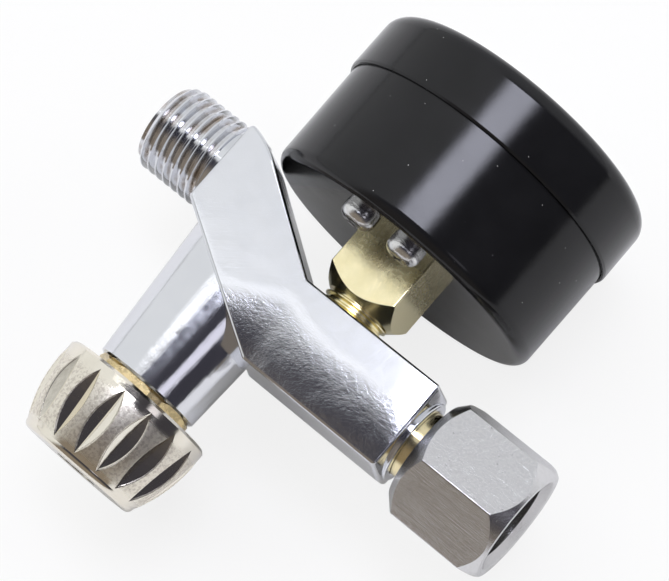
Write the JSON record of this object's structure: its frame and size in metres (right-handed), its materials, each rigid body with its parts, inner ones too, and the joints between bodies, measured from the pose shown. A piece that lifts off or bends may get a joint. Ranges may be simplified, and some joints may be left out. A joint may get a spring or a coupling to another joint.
{
  "type": "air pressure regulator",
  "caption": "Dog-leg air adjusting valve with a threaded inlet, swivel nut outlet, fluted adjusting knob and a round dial pressure gauge.",
  "frame": {"origin": "centre of the shoulder that the male inlet thread grows from, on the thread's axis", "axes": "+X out along the inlet thread, -Y the way the dial faces, +Y the way the adjusting knob points, +Z the normal of the body's flat front face"},
  "size_m": [0.0716, 0.0728, 0.0436],
  "materials": {
    "chrome_casting": "polished chrome plate on a zinc casting",
    "nickel_casting": "warm nickel plate, rough cast between the grooves",
    "plated_nut": "bright zinc plate with fine machining lines",
    "zinc_screw": "zinc plated",
    "brass": "bright machined brass",
    "turned_brass": "turned brass",
    "tube_bronze": "drawn phosphor bronze",
    "black_enamel": "gloss black enamel on steel",
    "dial_white": "matt white with black marks",
    "pointer_black": "satin black",
    "window_glass": "clear",
    "seal_rubber": "matt",
    "fibre": "red fibre washer"
  },
  "bodies": {
    "valve_body": {"body": "chrome_casting", "bonnet": "brass", "bonnet_washer": "fibre", "outlet_nipple": "turned_brass", "gauge_socket": "brass", "gauge_case": "black_enamel", "case_screws": "zinc_screw", "gauge_bezel": "black_enamel", "gauge_window": "window_glass", "window_gasket": "seal_rubber", "dial_plate": "dial_white", "dial_screws": "zinc_screw", "bourdon_tube": "tube_bronze", "movement_back_plate": "brass", "movement_front_plate": "brass", "movement_pillars": "turned_brass", "movement_screws": "zinc_screw", "hairspring": "tube_bronze"},
    "stem_seal": {"spindle_o_ring": "seal_rubber"},
    "spindle": {"spindle": "turned_brass", "adjusting_knob": "nickel_casting", "knob_screw": "zinc_screw"},
    "swivel_nut": {"swivel_nut": "plated_nut"},
    "sector": {"sector_gear": "turned_brass"},
    "pointer": {"pointer": "pointer_black", "pinion_arbor": "turned_brass"},
    "link": {"link": "turned_brass"},
    "tube_tip": {"tube_tip": "turned_brass"}
  },
  "joints": [
    {"name": "valve_travel", "type": "slide", "parent": "valve_body", "child": "stem_seal", "axis": [0, 1, 0], "range_m": [0, 0.003]},
    {"name": "valve_turn", "type": "hinge", "parent": "stem_seal", "child": "spindle", "pos_m": [-0.0106, 0, 0], "axis": [0, 1, 0], "range_deg": [0, 1080]},
    {"name": "nut_swivel", "type": "hinge", "parent": "valve_body", "child": "swivel_nut", "pos_m": [-0.0421, 0.0125, 0], "axis": [-1, 0, 0], "continuous": true},
    {"name": "sector_turn", "type": "hinge", "parent": "valve_body", "child": "sector", "pos_m": [-0.02558, 0, -0.00699], "axis": [0, -1, 0], "range_deg": [0, 45], "stiffness_Nm_per_rad": 0.004},
    {"name": "pointer_turn", "type": "hinge", "parent": "valve_body", "child": "pointer", "pos_m": [-0.0253, 0, 0], "axis": [0, 1, 0], "range_deg": [0, 270]},
    {"name": "link_turn", "type": "hinge", "parent": "sector", "child": "link", "pos_m": [-0.0245, 0, -0.01043], "axis": [0, -1, 0], "range_deg": [-45, 0]},
    {"name": "tip_travel", "type": "slide", "parent": "valve_body", "child": "tube_tip", "axis": [0.766, 0, 0.6428], "range_m": [0, 0.00276]}
  ],
  "couplings": [
    {"joint": "valve_turn", "follows": "valve_travel", "rad_per_m": 6283.2},
    {"joint": "pointer_turn", "follows": "sector_turn", "ratio": 6},
    {"joint": "link_turn", "follows": "sector_turn", "ratio": -1},
    {"joint": "tip_travel", "follows": "sector_turn", "m_per_rad": 0.0035082}
  ]
}
